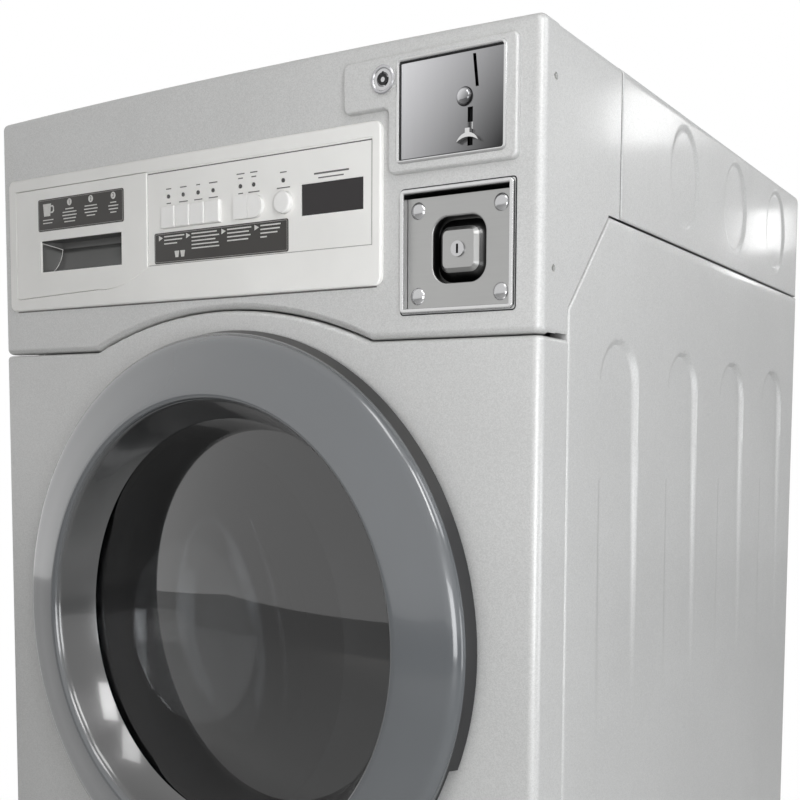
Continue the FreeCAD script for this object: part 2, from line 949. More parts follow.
def option_key(index):
    """One half of the round-ended pair of option keys."""
    x0, x1 = option_span(index)
    slab = box(x0, x1, front_y - field_proud - key_proud, front_y + key_fit, key_row_z, key_z1)
    cap = option_island(0.0, front_y - field_proud - key_proud, front_y + key_fit).common(slab)
    y0 = front_y + key_fit
    shoulder = box(x0, x1, y0, y0 + key_back, key_row_z - key_shoulder, key_z1 + key_shoulder)
    return joined([cap, shoulder])


def start_key():
    """Round start key with a shoulder behind the fascia."""
    z = (key_row_z + key_z1) / 2
    face = front_y - field_proud - 1.4 * key_proud
    cap = along_y(start_x, z, start_r, face, front_y + key_fit)
    rim = [e for e in cap.Edges if close_to(e.BoundBox.YMax, face)]
    cap = cap.makeFillet(key_proud / 2, rim)
    y0 = front_y + key_fit
    return joined([cap, along_y(start_x, z, start_r + key_shoulder, y0, y0 + key_back)])


def display_window():
    """Dark window over the price and time digits."""
    y0 = front_y - field_proud + display_inset
    return box(display_x0, display_x1, y0, front_y, display_z0, display_z0 + display_height)


def indicator_leds():
    """Row of lamps through the fascia."""
    y0 = front_y - field_proud - lamp_proud
    return Part.makeCompound([along_y(x, lamp_z, lamp_r, y0, front_y) for x in lamp_xs])


def control_board():
    """Circuit board on four posts behind the keys, with its larger parts."""
    z0 = field_z0 + board_margin / 2
    x1 = field_x1 - board_margin
    y0 = behind(board_stand)
    m = board_margin
    pieces = [box(board_x0, x1, y0, y0 + board_sheet, z0, field_z1)]
    for x in (board_x0 + m, x1 - m / 2):
        for z in (z0 + m / 2, field_z1 - m / 2):
            pieces.append(along_y(x, z, board_post_r, front_y, y0))
    pieces.append(box(x1 - 4 * m, x1 - m, y0, y0 + 2 * m, z0 + m, field_z1 - m))
    pieces.append(box(board_x0 + m, board_x0 + 6 * m, y0, y0 + m, z0 + m, z0 + 3 * m))
    return joined(pieces)


def drawer_front():
    """Drawer's face plate with a hollow grip pushed back into it and two arms that hold the tray."""
    y0 = front_y - fascia_proud
    y1 = y0 + drawer_plate
    plate = plate_y(drawer_outline(0.0), y0, y1)
    plate = plate.makeFillet(drawer_edge, front_edges(plate, y0))
    w = grip_wall
    pocket = box(grip_x0 - w, grip_x1 + w, y0, y0 + grip_depth + w, grip_z0 - w, grip_z1 + w)
    hollow = box(grip_x0, grip_x1, y0 - 1, y0 + grip_depth, grip_z0, grip_z1)
    sweep = edges_where(hollow, lambda p: close_to(p.x, grip_x0) and close_to(p.y, y0 + grip_depth))
    hollow = hollow.makeFillet(0.9 * grip_depth, sweep)
    low = grip_z1 + 2 * grip_wall
    arms = [box(x, x + tray_wall, y1, tray_start, low, tray_top_z) for x in (tray_x0, tray_x1 - tray_wall)]
    return joined([plate, pocket] + arms).cut(hollow)


def drawer_tray():
    """Open tray behind the drawer's grip, with two plates that part it into three compartments."""
    start = tray_start
    end = start + tray_depth
    w = tray_wall
    x0 = tray_x0
    x1 = tray_x1
    floor = tray_floor_z + w
    tray = box(x0, x1, start, end, tray_floor_z, tray_top_z)
    tray = tray.cut(box(x0 + w, x1 - w, start + w, end - w, floor, tray_top_z))
    bay = (x1 - x0 - 4 * w) / 3
    ease = w + tray_fit
    plates = []
    for k in (1, 2):
        left = x0 + k * (bay + w)
        plates.append(box(left, left + w, start + ease, end - ease, floor, tray_top_z))
    return Part.makeCompound([tray] + plates)


def dispenser_housing():
    """Box round the drawer tray, with an outlet below it and an inlet at the back."""
    w = housing_wall
    x0 = tray_x0 - tray_fit
    x1 = tray_x1 + tray_fit
    z0 = tray_floor_z - tray_fit
    end = behind(tray_depth + 2 * grip_depth)
    shell = box(x0 - w, x1 + w, front_y, end, z0 - w, field_z1 + w)
    shell = shell.cut(box(x0, x1, front_y - 1, end - w, z0, field_z1))
    y = behind(feed_behind)
    spigot = along_z(feed_x, y, feed_r, z0 - w - feed_spigot, z0 - w)
    shell = joined([shell, spigot])
    shell = shell.cut(along_z(feed_x, y, feed_r - feed_wall, z0 - w - feed_spigot, z0))
    return shell.cut(along_y(inlet_x, inlet_z + fill_rise, fill_r, end - w, end))


# Coin drop and coin box

def bezel_outline():
    """L-shaped bezel: a tall part round the coin drop and a wing round the lock."""
    r = bezel_r
    s = r * (1 - math.sqrt(0.5))
    left = bezel_x0
    knee = bezel_step_x
    right = bezel_x1
    low = bezel_z0
    step = bezel_step_z
    high = bezel_z1
    return [
        (knee + r, low), (right - r, low), ((right - s, low + s), (right, low + r)),
        (right, high - r), ((right - s, high - s), (right - r, high)),
        (left + r, high), ((left + s, high - s), (left, high - r)),
        (left, step + r), ((left + s, step + s), (left + r, step)),
        (knee - r, step), ((knee - s, step - s), (knee, step - r)),
        (knee, low + r), ((knee + s, low + s), (knee + r, low)),
    ]


def drop_window():
    """Left, right, bottom and top of the coin drop plate."""
    return bezel_step_x + drop_margin, bezel_x1 - drop_margin, bezel_z0 + drop_low, bezel_z1 - drop_high


def coin_bezel():
    """Raised bezel with the coin drop's window and the lock's collar."""
    y0 = front_y - bezel_proud
    bezel = plate_y(bezel_outline(), y0, front_y)
    bezel = bezel.makeFillet(bezel_edge, front_edges(bezel, y0))
    x0, x1, z0, z1 = drop_window()
    bezel = bezel.cut(box(x0, x1, y0 - 1, front_y, z0, z1))
    bezel = bezel.makeChamfer(bezel_edge / 2, edges_inside(bezel, y0, x0, x1, z0, z1))
    collar = along_y(lock_x, lock_z, lock_collar_r, y0 - lock_collar_proud, y0)
    bezel = joined([bezel, collar])
    return bezel.cut(along_y(lock_x, lock_z, lock_plug_r + lock_fit, y0 - lock_collar_proud - 1, front_y))


def coin_drop_plate():
    """Steel plate with the coin slot, a round boss and the slot of the return lever."""
    x0, x1, z0, z1 = drop_window()
    y0 = front_y - bezel_proud + drop_inset
    y1 = y0 + drop_sheet
    plate = joined([box(x0, x1, y0, y1, z0, z1), along_y(boss_x, boss_z, boss_r, y0 - boss_proud, y0)])
    w = slot_width / 2
    slot = [
        (slot_x - w, slot_top_z), (slot_x + w, slot_top_z),
        (slot_x + slot_lean + w, slot_bottom_z), (slot_x + slot_lean - w, slot_bottom_z),
    ]
    plate = plate.cut(plate_y(slot, y0 - 1, y1 + 1))
    w = return_slot / 2
    return plate.cut(box(return_x - w, return_x + w, y0 - 1, y1 + 1, return_z0 - return_stroke, return_z1))


def coin_acceptor():
    """Coin mechanism behind the drop plate, with the chute that the coins fall through."""
    x0, x1, z0, z1 = drop_window()
    m = acceptor_margin
    y0 = front_y - bezel_proud + drop_inset + drop_sheet
    body = box(x0 + m, x1 - m, y0, behind(acceptor_depth), z0 + m, z1 - m)
    reach = drop_sheet + 3 * lever_fit
    lane = box(return_x - return_slot, return_x + return_slot, y0, y0 + reach, z0 + m, return_z1 + m)
    x0 = slot_x - slot_width
    x1 = slot_x + slot_lean + slot_width
    throat = box(x0, x1, y0, behind(acceptor_depth / 2), slot_bottom_z, slot_top_z)
    return body.cut(lane).cut(throat)


def coin_return_lever():
    """Lever in the lower slot, with an arched head to press down."""
    y0 = front_y - bezel_proud + drop_inset
    back = y0 + drop_sheet
    w = return_slot / 2 - lever_fit
    z = return_z0 + lever_height
    stem = box(return_x - w, return_x + w, y0 - lever_proud, back + drop_sheet, return_z0, z)
    keeper = box(return_x - return_slot + lever_fit, return_x + return_slot - lever_fit, back + lever_fit,
                 back + drop_sheet, return_z0, z + lever_height)
    low = return_z0 - lever_head_low
    right = (return_x + lever_head_r, low)
    left = (return_x - lever_head_r, low)
    head = [left, ((return_x, return_z0 + lever_head_low), right), ((return_x, return_z0), left)]
    crescent = plate_y(head, y0 - lever_proud, y0 - lever_fit)
    return joined([stem, keeper, crescent])


def coin_lock_plug():
    """Tubular key plug in the bezel's wing."""
    y0 = front_y - bezel_proud - lock_collar_proud
    plug = along_y(lock_x, lock_z, lock_plug_r, y0, behind(3 * lock_plug_r))
    groove = tube_y(lock_x, lock_z, 0.7 * lock_plug_r, 0.42 * lock_plug_r, y0 - 1, y0 + lock_plug_r / 2)
    return plug.cut(groove)


def vault_housing():
    """Steel vault behind the console with a bright frame in front."""
    r = vault_rim
    w = vault_wall
    y0 = front_y - vault_proud
    frame = plate_y(rounded(vault_x0, vault_x1, vault_z0, vault_z1, r), y0, front_y)
    frame = frame.makeFillet(vault_edge, front_edges(frame, y0))
    back = behind(vault_depth)
    body = box(vault_x0 + r - w, vault_x1 - r + w, front_y, back, vault_z0 + r - w, vault_z1 - r + w)
    x0 = vault_x0 + r
    x1 = vault_x1 - r
    z0 = vault_z0 + r
    z1 = vault_z1 - r
    vault = joined([frame, body]).cut(box(x0, x1, y0 - 1, back - w, z0, z1))
    return vault.makeFillet(vault_edge, edges_inside(vault, y0, x0, x1, z0, z1))


def round_block(width, height, r, x, z, y0, y1):
    """Block with round upright corners, centred on a point of the coin box's face."""
    a = width / 2
    b = height / 2
    return plate_y(rounded(x - a, x + a, z - b, z + b, r), y0, y1)


def dome(x, y, z):
    """Low round dome that stands forward of a face."""
    ball = (dome_r ** 2 + dome_proud ** 2) / (2 * dome_proud)
    sphere = Part.makeSphere(ball, V(x, y + ball - dome_proud, z))
    return sphere.common(box(x - ball, x + ball, y - ball, y, z - ball, z + ball))


def coin_box():
    """Coin box: stamped face with corner domes and a lock block in a recess, and an open tray behind."""
    x0 = vault_x0 + vault_rim + box_fit
    x1 = vault_x1 - vault_rim - box_fit
    z0 = vault_z0 + vault_rim + box_fit
    z1 = vault_z1 - vault_rim - box_top_gap
    x = (vault_x0 + vault_x1) / 2
    z = (vault_z0 + vault_z1) / 2
    y0 = front_y - vault_proud + box_set
    y1 = y0 + box_plate
    face = box(x0, x1, y0, y1, z0, z1)
    d = dome_inset
    for dx in (x0 + d, x1 - d):
        for dz in (z0 + d, z1 - d):
            face = face.fuse(dome(dx, y0, dz))
    w = recess_wall
    floor = y0 + recess_depth
    wide = recess_width + 2 * w
    high = recess_height + 2 * w
    face = face.fuse(round_block(wide, high, recess_corner + w, x, z, y0, floor + w))
    face = face.cut(round_block(recess_width, recess_height, recess_corner, x, z, y0 - 1, floor))
    a = recess_width / 2
    b = recess_height / 2
    face = face.makeFillet(recess_edge, edges_inside(face, y0, x - a, x + a, z - b, z + b))
    block = round_block(block_width, block_height, block_r, x, z, floor - block_proud, floor)
    block = block.makeChamfer(block_edge, front_edges(block, floor - block_proud))
    top = z0 + box_tray_height
    end = behind(vault_depth - vault_wall - box_end_gap)
    start = floor + 2 * w
    w = box_wall
    tray = box(x0, x1, start, end, z0, top).cut(box(x0 + w, x1 - w, start + w, end - w, z0 + w, top))
    arms = [box(left, left + w, y1, start + w, z0, top) for left in (x0, x1 - w)]
    whole = joined([face, block, tray] + arms)
    return whole.cut(along_y(x, z, key_plug_r + lock_fit, y0 - 1, start - recess_wall / 2))


def vault_lock_plug():
    """Key plug of the coin box, with a slot for the key."""
    x = (vault_x0 + vault_x1) / 2
    z = (vault_z0 + vault_z1) / 2
    floor = front_y - vault_proud + box_set + recess_depth
    y0 = floor - block_proud - key_plug_proud
    plug = along_y(x, z, key_plug_r, y0, floor + recess_wall)
    w = key_plug_r / 6
    h = 0.6 * key_plug_r
    return plug.cut(box(x - w, x + w, y0 - 1, y0 + key_plug_tail, z - h, z + h))


# Door

def door_ring():
    """Moulded ring: round rim, face that leans out to a lip, and a throat that narrows to the glass."""
    round_r = rim_proud - ring_back
    k = math.sqrt(0.5)
    crest = door_proud - lip_rise
    w = ring_wall
    rim_x = door_r - round_r
    inner_r = round_r - w
    path = [
        (door_r, -ring_back), ((rim_x + k * round_r, -ring_back - k * round_r), (rim_x, -rim_proud)),
        (lip_r + lip_half, -crest), ((lip_r, -door_proud), (lip_r - lip_half, -crest)),
        (throat_r, -throat_proud), (throat_r + w, -throat_proud), (lip_r, -crest + w),
        (rim_x, -rim_proud + w),
        ((rim_x + k * inner_r, -ring_back - k * inner_r), (door_r - w, -ring_back)),
    ]
    return turned(path)


def arm_bands():
    """Bottom and top of the two hinge arms."""
    low = [drum_z - hinge_arm_z, drum_z + hinge_arm_z]
    return [(z - hinge_arm_height / 2, z + hinge_arm_height / 2) for z in low]


def pull_sector(path, ease):
    """Part of a round piece on the door's free side, below the middle, where fingers reach in."""
    high = math.radians(pull_from - ease)
    low = math.radians(pull_to + ease)
    far = 2 * door_r
    wedge = [
        (drum_x, drum_z), (drum_x + far * math.cos(low), drum_z - far * math.sin(low)),
        (drum_x + far * math.cos(high), drum_z - far * math.sin(high)),
    ]
    return turned(path).common(plate_y(wedge, front_y - door_proud, behind(door_proud)))


def door_rear_frame():
    """Dark frame that closes the ring's back and holds the glass, notched round the hinge arms."""
    back = throat_proud
    plate = back + frame_plate
    bore = glass_rim_r + glass_fit
    lip = glass_rim - throat_proud
    path = [
        (door_r, -ring_back), (frame_edge_r, -back), (retainer_out_r, -back),
        (retainer_out_r, lip + retainer_lip), (retainer_r, lip + retainer_lip), (retainer_r, lip),
        (bore, lip), (bore, -back), (bore + frame_plate, -plate),
        (frame_edge_r - frame_wall, -plate), (door_r - frame_wall, -ring_back),
    ]
    frame = turned(path)
    pull_in = pull_r - pull_wall
    pull_floor = back + pull_deep
    cup = [(pull_in, -back), (frame_edge_r, -back), (door_r, -ring_back), (pull_in, -ring_back)]
    hollow = [(pull_r, 0.0), (frame_edge_r + 1, 0.0), (frame_edge_r + 1, -pull_floor), (pull_r, -pull_floor)]
    frame = joined([frame, pull_sector(cup, pull_end)]).cut(pull_sector(hollow, 0.0))
    reach = math.hypot(hinge_reach + hinge_arm, hinge_stand - hinge_plate) + notch_room
    for z0, z1 in arm_bands():
        frame = frame.cut(along_z(hinge_x, hinge_y, reach, z0 - notch_room, z1 + notch_room))
        room = math.hypot(hinge_stand - throat_proud - frame_plate, leaf_sheet) + notch_room
        frame = frame.cut(along_z(hinge_x, hinge_y, room, z1, z1 + hinge_knuckle + notch_room))
    swing = along_z(hinge_x, hinge_y, hinge_stand - notch_room, drum_z - door_r, drum_z + door_r)
    side = box(hinge_x - door_r, hinge_x, front_y - ring_back, front_y, drum_z - door_r, drum_z + door_r)
    return frame.cut(side.cut(swing))


def door_glass():
    """Flat outer pane, and behind it the bowl with a flat rim held by the frame."""
    pane_back = front_y - throat_proud + pane_sheet
    pane = along_y(drum_x, drum_z, glass_rim_r, front_y - throat_proud, pane_back)
    seat = pane_sheet + pane_gap - throat_proud
    w = glass_wall
    lip = glass_rim - throat_proud
    k = math.sqrt(0.5)
    turn_r = bowl_end_r - bowl_floor_r
    turn_y = bowl_floor - bowl_end
    path = [
        (0.0, bowl_floor + bowl_dome), (bowl_floor_r, bowl_floor),
        ((bowl_floor_r + k * turn_r, bowl_end + k * turn_y), (bowl_end_r, bowl_end)),
        (bowl_neck_r, bowl_neck), (bowl_mouth_r, lip), (glass_rim_r, lip), (glass_rim_r, seat),
        (bowl_mouth_r - w, seat), (bowl_neck_r - w, bowl_neck - w / 3),
        (bowl_end_r - w, bowl_end - w / 3),
        ((bowl_floor_r + k * turn_r - w, bowl_end + k * turn_y - w), (bowl_floor_r - w / 2, bowl_floor - w)),
        (0.0, bowl_floor + bowl_dome - w),
    ]
    return Part.makeCompound([pane, turned(path)])


def hinge_bracket():
    """Plate on the front panel with two hooked arms, each with an upright pin."""
    reach_x = hinge_x + hinge_reach
    far_x = reach_x + hinge_plate_width
    over = hinge_arm_z + hinge_arm_height / 2 + hinge_plate_over
    pieces = [box(reach_x, far_x, front_y - hinge_plate, front_y, drum_z - over, drum_z + over)]
    t = hinge_arm
    for z0, z1 in arm_bands():
        pieces.append(box(reach_x, reach_x + t, hinge_y - t / 2, front_y - hinge_plate, z0, z1))
        pieces.append(box(hinge_x, reach_x, hinge_y - t / 2, hinge_y + t / 2, z0, z1))
        pieces.append(along_z(hinge_x, hinge_y, hinge_eye_r, z0, z1))
        pieces.append(along_z(hinge_x, hinge_y, hinge_pin_r, z1, z1 + hinge_knuckle))
    return joined(pieces)


def hinge_leaf():
    """Bar on the door's rear frame with two fingers that end in knuckles on the hinge pins."""
    back = front_y - throat_proud - frame_plate
    reach = math.hypot(hinge_reach + hinge_arm, hinge_stand - hinge_plate) + 2 * notch_room
    x0 = hinge_x + reach
    over = hinge_arm_z + hinge_arm_height / 2 + hinge_knuckle
    pieces = [box(x0, x0 + leaf_width, back - leaf_sheet, back, drum_z - over, drum_z + over)]
    for z0, z1 in arm_bands():
        low = z1 + hinge_gap
        high = z1 + hinge_knuckle
        pieces.append(box(hinge_x, x0, back - leaf_sheet, back, low, high))
        pieces.append(box(hinge_x - leaf_sheet, hinge_x + leaf_sheet, hinge_y, back, low, high))
        pieces.append(along_z(hinge_x, hinge_y, hinge_eye_r, low, high))
    leaf = joined(pieces)
    for z0, z1 in arm_bands():
        leaf = leaf.cut(along_z(hinge_x, hinge_y, hinge_pin_r + hinge_fit, z1, z1 + 2 * hinge_knuckle))
    return leaf


def latch_hook():
    """Steel tongue on the door's rear frame that reaches through the front panel."""
    back = front_y - throat_proud
    t = latch_sheet / 2
    h = latch_height / 2
    foot = box(latch_x - t, latch_x + latch_foot / 2, back, back + t, drum_z - h, drum_z + h)
    tongue = box(latch_x - t, latch_x + t, back, behind(latch_reach), drum_z - h, drum_z + h)
    y0 = behind(latch_reach - h)
    eye = box(latch_x - t - 1, latch_x + t + 1, y0, y0 + h / 2, drum_z - h / 2, drum_z + h / 2)
    return joined([tongue, foot]).cut(eye)


def door_interlock():
    """Lock case behind the front panel, open in front for the tongue."""
    w = interlock_wall
    x0 = latch_x - interlock_width / 2
    x1 = latch_x + interlock_width / 2
    z0 = drum_z - interlock_height / 2
    z1 = drum_z + interlock_height / 2
    case = box(x0, x1, behind(sheet), behind(interlock_depth), z0, z1)
    h = latch_height / 2 + latch_room
    mouth = box(x0 + w, x1 - w, behind(sheet) - 1, behind(interlock_depth - w), drum_z - h, drum_z + h)
    return case.cut(mouth)


def door_gasket():
    """Rubber bellows between the front panel's collar and the tub's mouth, with a folded lip."""
    outer = opening_r - sheet
    w = gasket_wall
    lip_end = gasket_lip + gasket_lip_land
    sleeve = tub_mouth_r + tub_collar + gasket_fit
    start = tub_front_y - tub_collar_reach
    end = tub_front_y - gasket_fit
    fold = gasket_fold
    path = [
        (outer - w, gasket_start), (outer - w, opening_collar), (gasket_lip_r, gasket_lip),
        (gasket_lip_r, lip_end), (gasket_fold_r, fold), (sleeve, start), (sleeve, end), (sleeve + w, end),
        (sleeve + w, start), (gasket_fold_r + w, fold), (gasket_fold_r + w / 2, fold - w),
        (gasket_lip_r + 1.5 * w, gasket_lip + w), (outer, opening_collar + w), (outer, gasket_start),
    ]
    return turned(path)


# Tub and drum

def lug(x, above):
    """Ear on the tub for a spring above it or a damper below it."""
    side = x - drum_x
    rise = math.sqrt(tub_r ** 2 - (abs(side) + lug_width / 2) ** 2)
    y = behind(suspension_behind)
    w = lug_width / 2
    surface = drum_z + rise if above else drum_z - rise
    far = spring_lug_z(x) if above else damper_lug_z(x)
    return box(x - w, x + w, y - w, y + w, min(surface, far), max(surface, far))


def spring_lug_z(x):
    """Top of a spring's ear."""
    return drum_z + math.sqrt(tub_r ** 2 - (x - drum_x) ** 2) + lug_height


def damper_lug_z(x):
    """Underside of a damper's ear."""
    return drum_z - math.sqrt(tub_r ** 2 - (x - drum_x) ** 2) - lug_height


def tub_front():
    """Front half of the tub with the mouth collar and the dispenser's inlet spigot."""
    f = tub_front_y
    w = tub_wall
    mouth = f - tub_collar_reach
    collar_r = tub_mouth_r + tub_collar
    rim_r = tub_r + tub_flange
    path = [
        (tub_mouth_r, mouth), (collar_r, mouth), (collar_r, f), (tub_r, f), (tub_r, tub_split - tub_flange),
        (rim_r, tub_split - tub_flange), (rim_r, tub_split), (tub_inner_r, tub_split), (tub_inner_r, f + w),
        (tub_mouth_r, f + w),
    ]
    tub = turned(path)
    y = behind(feed_behind)
    surface = drum_z + math.sqrt(tub_r ** 2 - (feed_x - drum_x) ** 2)
    spigot = along_z(feed_x, y, feed_r, surface - feed_r, surface + tub_spigot)
    spigot = spigot.cut(along_y(drum_x, drum_z, tub_inner_r, front_y, rear_y))
    bore = along_z(feed_x, y, feed_r - feed_wall, drum_z, surface + tub_spigot)
    return joined([tub, spigot]).cut(bore)


def tub_rear():
    """Rear half of the tub: ribbed end wall, bearing hub, spring and damper ears, sump spigot."""
    w = tub_wall
    back = tub_back
    inside_y = back - tub_floor
    hub_r = bearing_r + hub_wall
    rim_r = tub_r + tub_flange
    rim_end = tub_split + tub_flange
    path = [
        (tub_inner_r, tub_split), (rim_r, tub_split), (rim_r, rim_end), (tub_r, rim_end), (tub_r, back),
        (hub_r, back), (hub_r, hub_back), (bearing_r, hub_back), (bearing_r, hub_front), (hub_r, hub_front),
        (hub_r, inside_y), (tub_inner_r, inside_y),
    ]
    tub = turned(path)
    pieces = [tub]
    rib_out = tub_r - w
    for k in range(tub_ribs):
        rib = box(drum_x + hub_r - w, drum_x + rib_out, behind(back), behind(back + tub_rib),
                  drum_z - tub_rib_sheet / 2, drum_z + tub_rib_sheet / 2)
        rib.rotate(V(drum_x, 0, drum_z), V(0, 1, 0), 360.0 * k / tub_ribs + 180.0 / tub_ribs)
        pieces.append(rib)
    for x in (spring_x, -spring_x):
        pieces.append(lug(x, True))
    for x in (damper_x, -damper_x):
        pieces.append(lug(x, False))
    y = behind(sump_behind)
    surface = drum_z - math.sqrt(tub_r ** 2 - (sump_x - drum_x) ** 2)
    pieces.append(along_z(sump_x, y, sump_r, surface - tub_spigot, surface + sump_r))
    z0 = motor_z + 0.75 * motor_r
    z1 = drum_z - tub_r + 2 * w
    x0 = drum_x - motor_bracket_width / 2
    x1 = drum_x + motor_bracket_width / 2
    motor_front = motor_back - motor_length
    for depth in (motor_front, tub_back - 2 * motor_bracket):
        pieces.append(box(x0, x1, behind(depth), behind(depth + motor_bracket), z0, z1))
    whole = joined(pieces)
    inside = along_y(drum_x, drum_z, tub_inner_r, behind(tub_split), behind(inside_y))
    keep = turned([(0.0, hub_front), (hub_r, hub_front), (hub_r, back), (0.0, back)])
    whole = whole.cut(inside.cut(keep))
    whole = whole.cut(along_y(drum_x, motor_z, motor_r, behind(motor_front), behind(motor_back)))
    return whole.cut(along_z(sump_x, y, sump_r - feed_wall, surface - tub_spigot, drum_z - tub_inner_r / 2))


def counterweights():
    """Two cast segments on the tub's front wall, above and below the mouth."""
    y1 = behind(tub_front_y)
    y0 = y1 - weight_thick
    ring = tube_y(drum_x, drum_z, tub_r, weight_inner_r, y0, y1)
    spread = math.radians(weight_spread)
    far = 2 * tub_r
    pieces = []
    for side in (1, -1):
        wedge = [
            (drum_x, drum_z), (drum_x + far * math.sin(spread), drum_z + side * far * math.cos(spread)),
            (drum_x - far * math.sin(spread), drum_z + side * far * math.cos(spread)),
        ]
        pieces.append(ring.common(plate_y(wedge, y0, y1)))
    return Part.makeCompound(pieces)


def bearing_places():
    """Front planes of the two bearings."""
    return [hub_front + hub_gap, hub_back - hub_gap - bearing_width]


def shaft_bearings():
    """Two ball bearings in the tub's hub, each drawn as one ring."""
    rings = []
    bore = shaft_r + shaft_fit
    for start in bearing_places():
        y0 = behind(start)
        rings.append(tube_y(drum_x, drum_z, bearing_r, bore, y0, y0 + bearing_width))
    return Part.makeCompound(rings)


def drum_shell():
    """Steel drum with a rolled mouth, closed behind."""
    s = drum_sheet
    lip = drum_start - drum_lip
    path = [
        (0.0, drum_end), (drum_r, drum_end), (drum_r, drum_start), (drum_mouth_r + s, drum_start),
        (drum_mouth_r + s, lip), (drum_mouth_r, lip), (drum_mouth_r, drum_start + s),
        (drum_r - s, drum_start + s), (drum_r - s, drum_end - s), (0.0, drum_end - s),
    ]
    return turned(path)


def drum_lifters():
    """Hollow-looking ridges along the drum's wall that lift the load."""
    wall = drum_r - drum_sheet
    crest = wall - lifter_height
    y0 = behind(drum_start + drum_sheet + lifter_margin)
    y1 = behind(drum_end - drum_sheet - lifter_margin)
    w = lifter_width / 2
    c = lifter_crest / 2
    path = [
        (drum_x - w, drum_z + wall), (drum_x - c, drum_z + crest + c),
        ((drum_x, drum_z + crest), (drum_x + c, drum_z + crest + c)), (drum_x + w, drum_z + wall),
    ]
    ridge = plate_y(path, y0, y1).common(along_y(drum_x, drum_z, wall, y0, y1))
    ridges = []
    for k in range(lifter_count):
        copy = ridge.copy()
        copy.rotate(V(drum_x, 0, drum_z), V(0, 1, 0), 360.0 * k / lifter_count)
        ridges.append(copy)
    return Part.makeCompound(ridges)


def drum_spider():
    """Three-armed casting on the drum's back with its shaft."""
    y0 = behind(drum_end)
    y1 = behind(drum_end + spider_depth)
    pieces = [along_y(drum_x, drum_z, spider_hub_r, y0, y1)]
    for k in range(lifter_count):
        arm = box(drum_x, drum_x + spider_reach, y0, y1, drum_z - spider_arm / 2, drum_z + spider_arm / 2)
        arm.rotate(V(drum_x, 0, drum_z), V(0, 1, 0), 360.0 * k / lifter_count + 30.0)
        pieces.append(arm)
    pieces.append(along_y(drum_x, drum_z, shaft_r, y1, behind(pulley_front + pulley_width)))
    return joined(pieces)


def drum_pulley():
    """Large pulley with a thin web on the end of the drum's shaft."""
    y0 = behind(pulley_front)
    y1 = behind(pulley_front + pulley_width)
    pieces = [
        tube_y(drum_x, drum_z, drum_pulley_r, drum_pulley_r - pulley_rim, y0, y1),
        along_y(drum_x, drum_z, pulley_hub_r, y0, y1),
        along_y(drum_x, drum_z, drum_pulley_r - pulley_rim / 2, y0, y0 + pulley_web),
    ]
    return joined(pieces).cut(along_y(drum_x, drum_z, shaft_r, y0 - 1, y1 + 1))


def drive_motor():
    """Motor under the tub, with a ribbed body and a bore for its shaft."""
    y0 = behind(motor_back - motor_length)
    y1 = behind(motor_back)
    body = along_y(drum_x, motor_z, motor_r, y0, y1)
    bore = along_y(drum_x, motor_z, motor_shaft_r + shaft_fit, y1 - motor_shaft_grip - 2 * hub_gap, y1)
    return body.cut(bore)


def motor_pulley():
    """Small pulley with the motor's shaft."""
    y0 = behind(pulley_front)
    pulley = along_y(drum_x, motor_z, motor_pulley_r, y0, y0 + pulley_width)
    shaft = along_y(drum_x, motor_z, motor_shaft_r, behind(motor_back) - motor_shaft_grip, y0)
    return joined([pulley, shaft])


def belt_loop(grow, y0, y1):
    """Block inside a belt that runs round both pulleys."""
    big = drum_pulley_r + grow
    small = motor_pulley_r + grow
    lean = math.asin((big - small) / motor_drop)
    c = math.cos(lean)
    s = math.sin(lean)
    path = [
        (drum_x + big * c, drum_z - big * s),
        ((drum_x, drum_z + big), (drum_x - big * c, drum_z - big * s)),
        (drum_x - small * c, motor_z - small * s),
        ((drum_x, motor_z - small), (drum_x + small * c, motor_z - small * s)),
    ]
    return plate_y(path, y0, y1)


def drive_belt():
    """Flat belt round the drum pulley and the motor pulley."""
    y0 = behind(belt_front)
    y1 = y0 + belt_width
    return belt_loop(belt_fit + belt_thick, y0, y1).cut(belt_loop(belt_fit, y0, y1))


# Suspension and water

def top_brace():
    """Channel across the cabinet that the springs hang from."""
    x = half - sheet
    y = behind(suspension_behind)
    w = brace_width / 2
    z1 = brace_z0 + brace_height
    beam = box(-x, x, y - w, y + w, brace_z0, z1)
    return beam.cut(box(-x, x, y - w + rail_wall, y + w - rail_wall, brace_z0 + rail_wall, z1))


def suspension_springs():
    """Two tension springs between the brace and the tub's ears, as ridged columns with straight hooks."""
    springs = []
    y = behind(suspension_behind)
    for x in (spring_x, -spring_x):
        low = spring_lug_z(x) + gasket_fit
        coil_low = low + 3 * spring_wire_r
        pitch = (brace_z0 - 6 * spring_wire_r - low) / spring_turns
        core = spring_r - spring_wire_r
        path = [(0.0, coil_low), (core, coil_low)]
        for k in range(spring_turns):
            z = coil_low + k * pitch
            path += [(spring_r, z + pitch / 4), (spring_r, z + 3 * pitch / 4), (core, z + pitch)]
        path.append((0.0, coil_low + spring_turns * pitch))
        coil = closed_face(path, lambda p: V(x + p[0], y, p[1])).revolve(V(x, y, 0), V(0, 0, 1), 360)
        lower = along_z(x, y, spring_wire_r, low, coil_low + 1)
        upper = along_z(x, y, spring_wire_r, brace_z0 - 3 * spring_wire_r - 1, brace_z0)
        springs.append(joined([coil, lower, upper]))
    return Part.makeCompound(springs)


def damper_cylinders():
    """Two upright damper bodies on the base frame's cross rail."""
    y = behind(suspension_behind)
    top = base_top + damper_height
    bodies = []
    for x in (damper_x, -damper_x):
        body = along_z(x, y, damper_r, base_top, top)
        bodies.append(body.cut(along_z(x, y, damper_rod_r + damper_fit, base_top + damper_floor, top)))
    return Part.makeCompound(bodies)


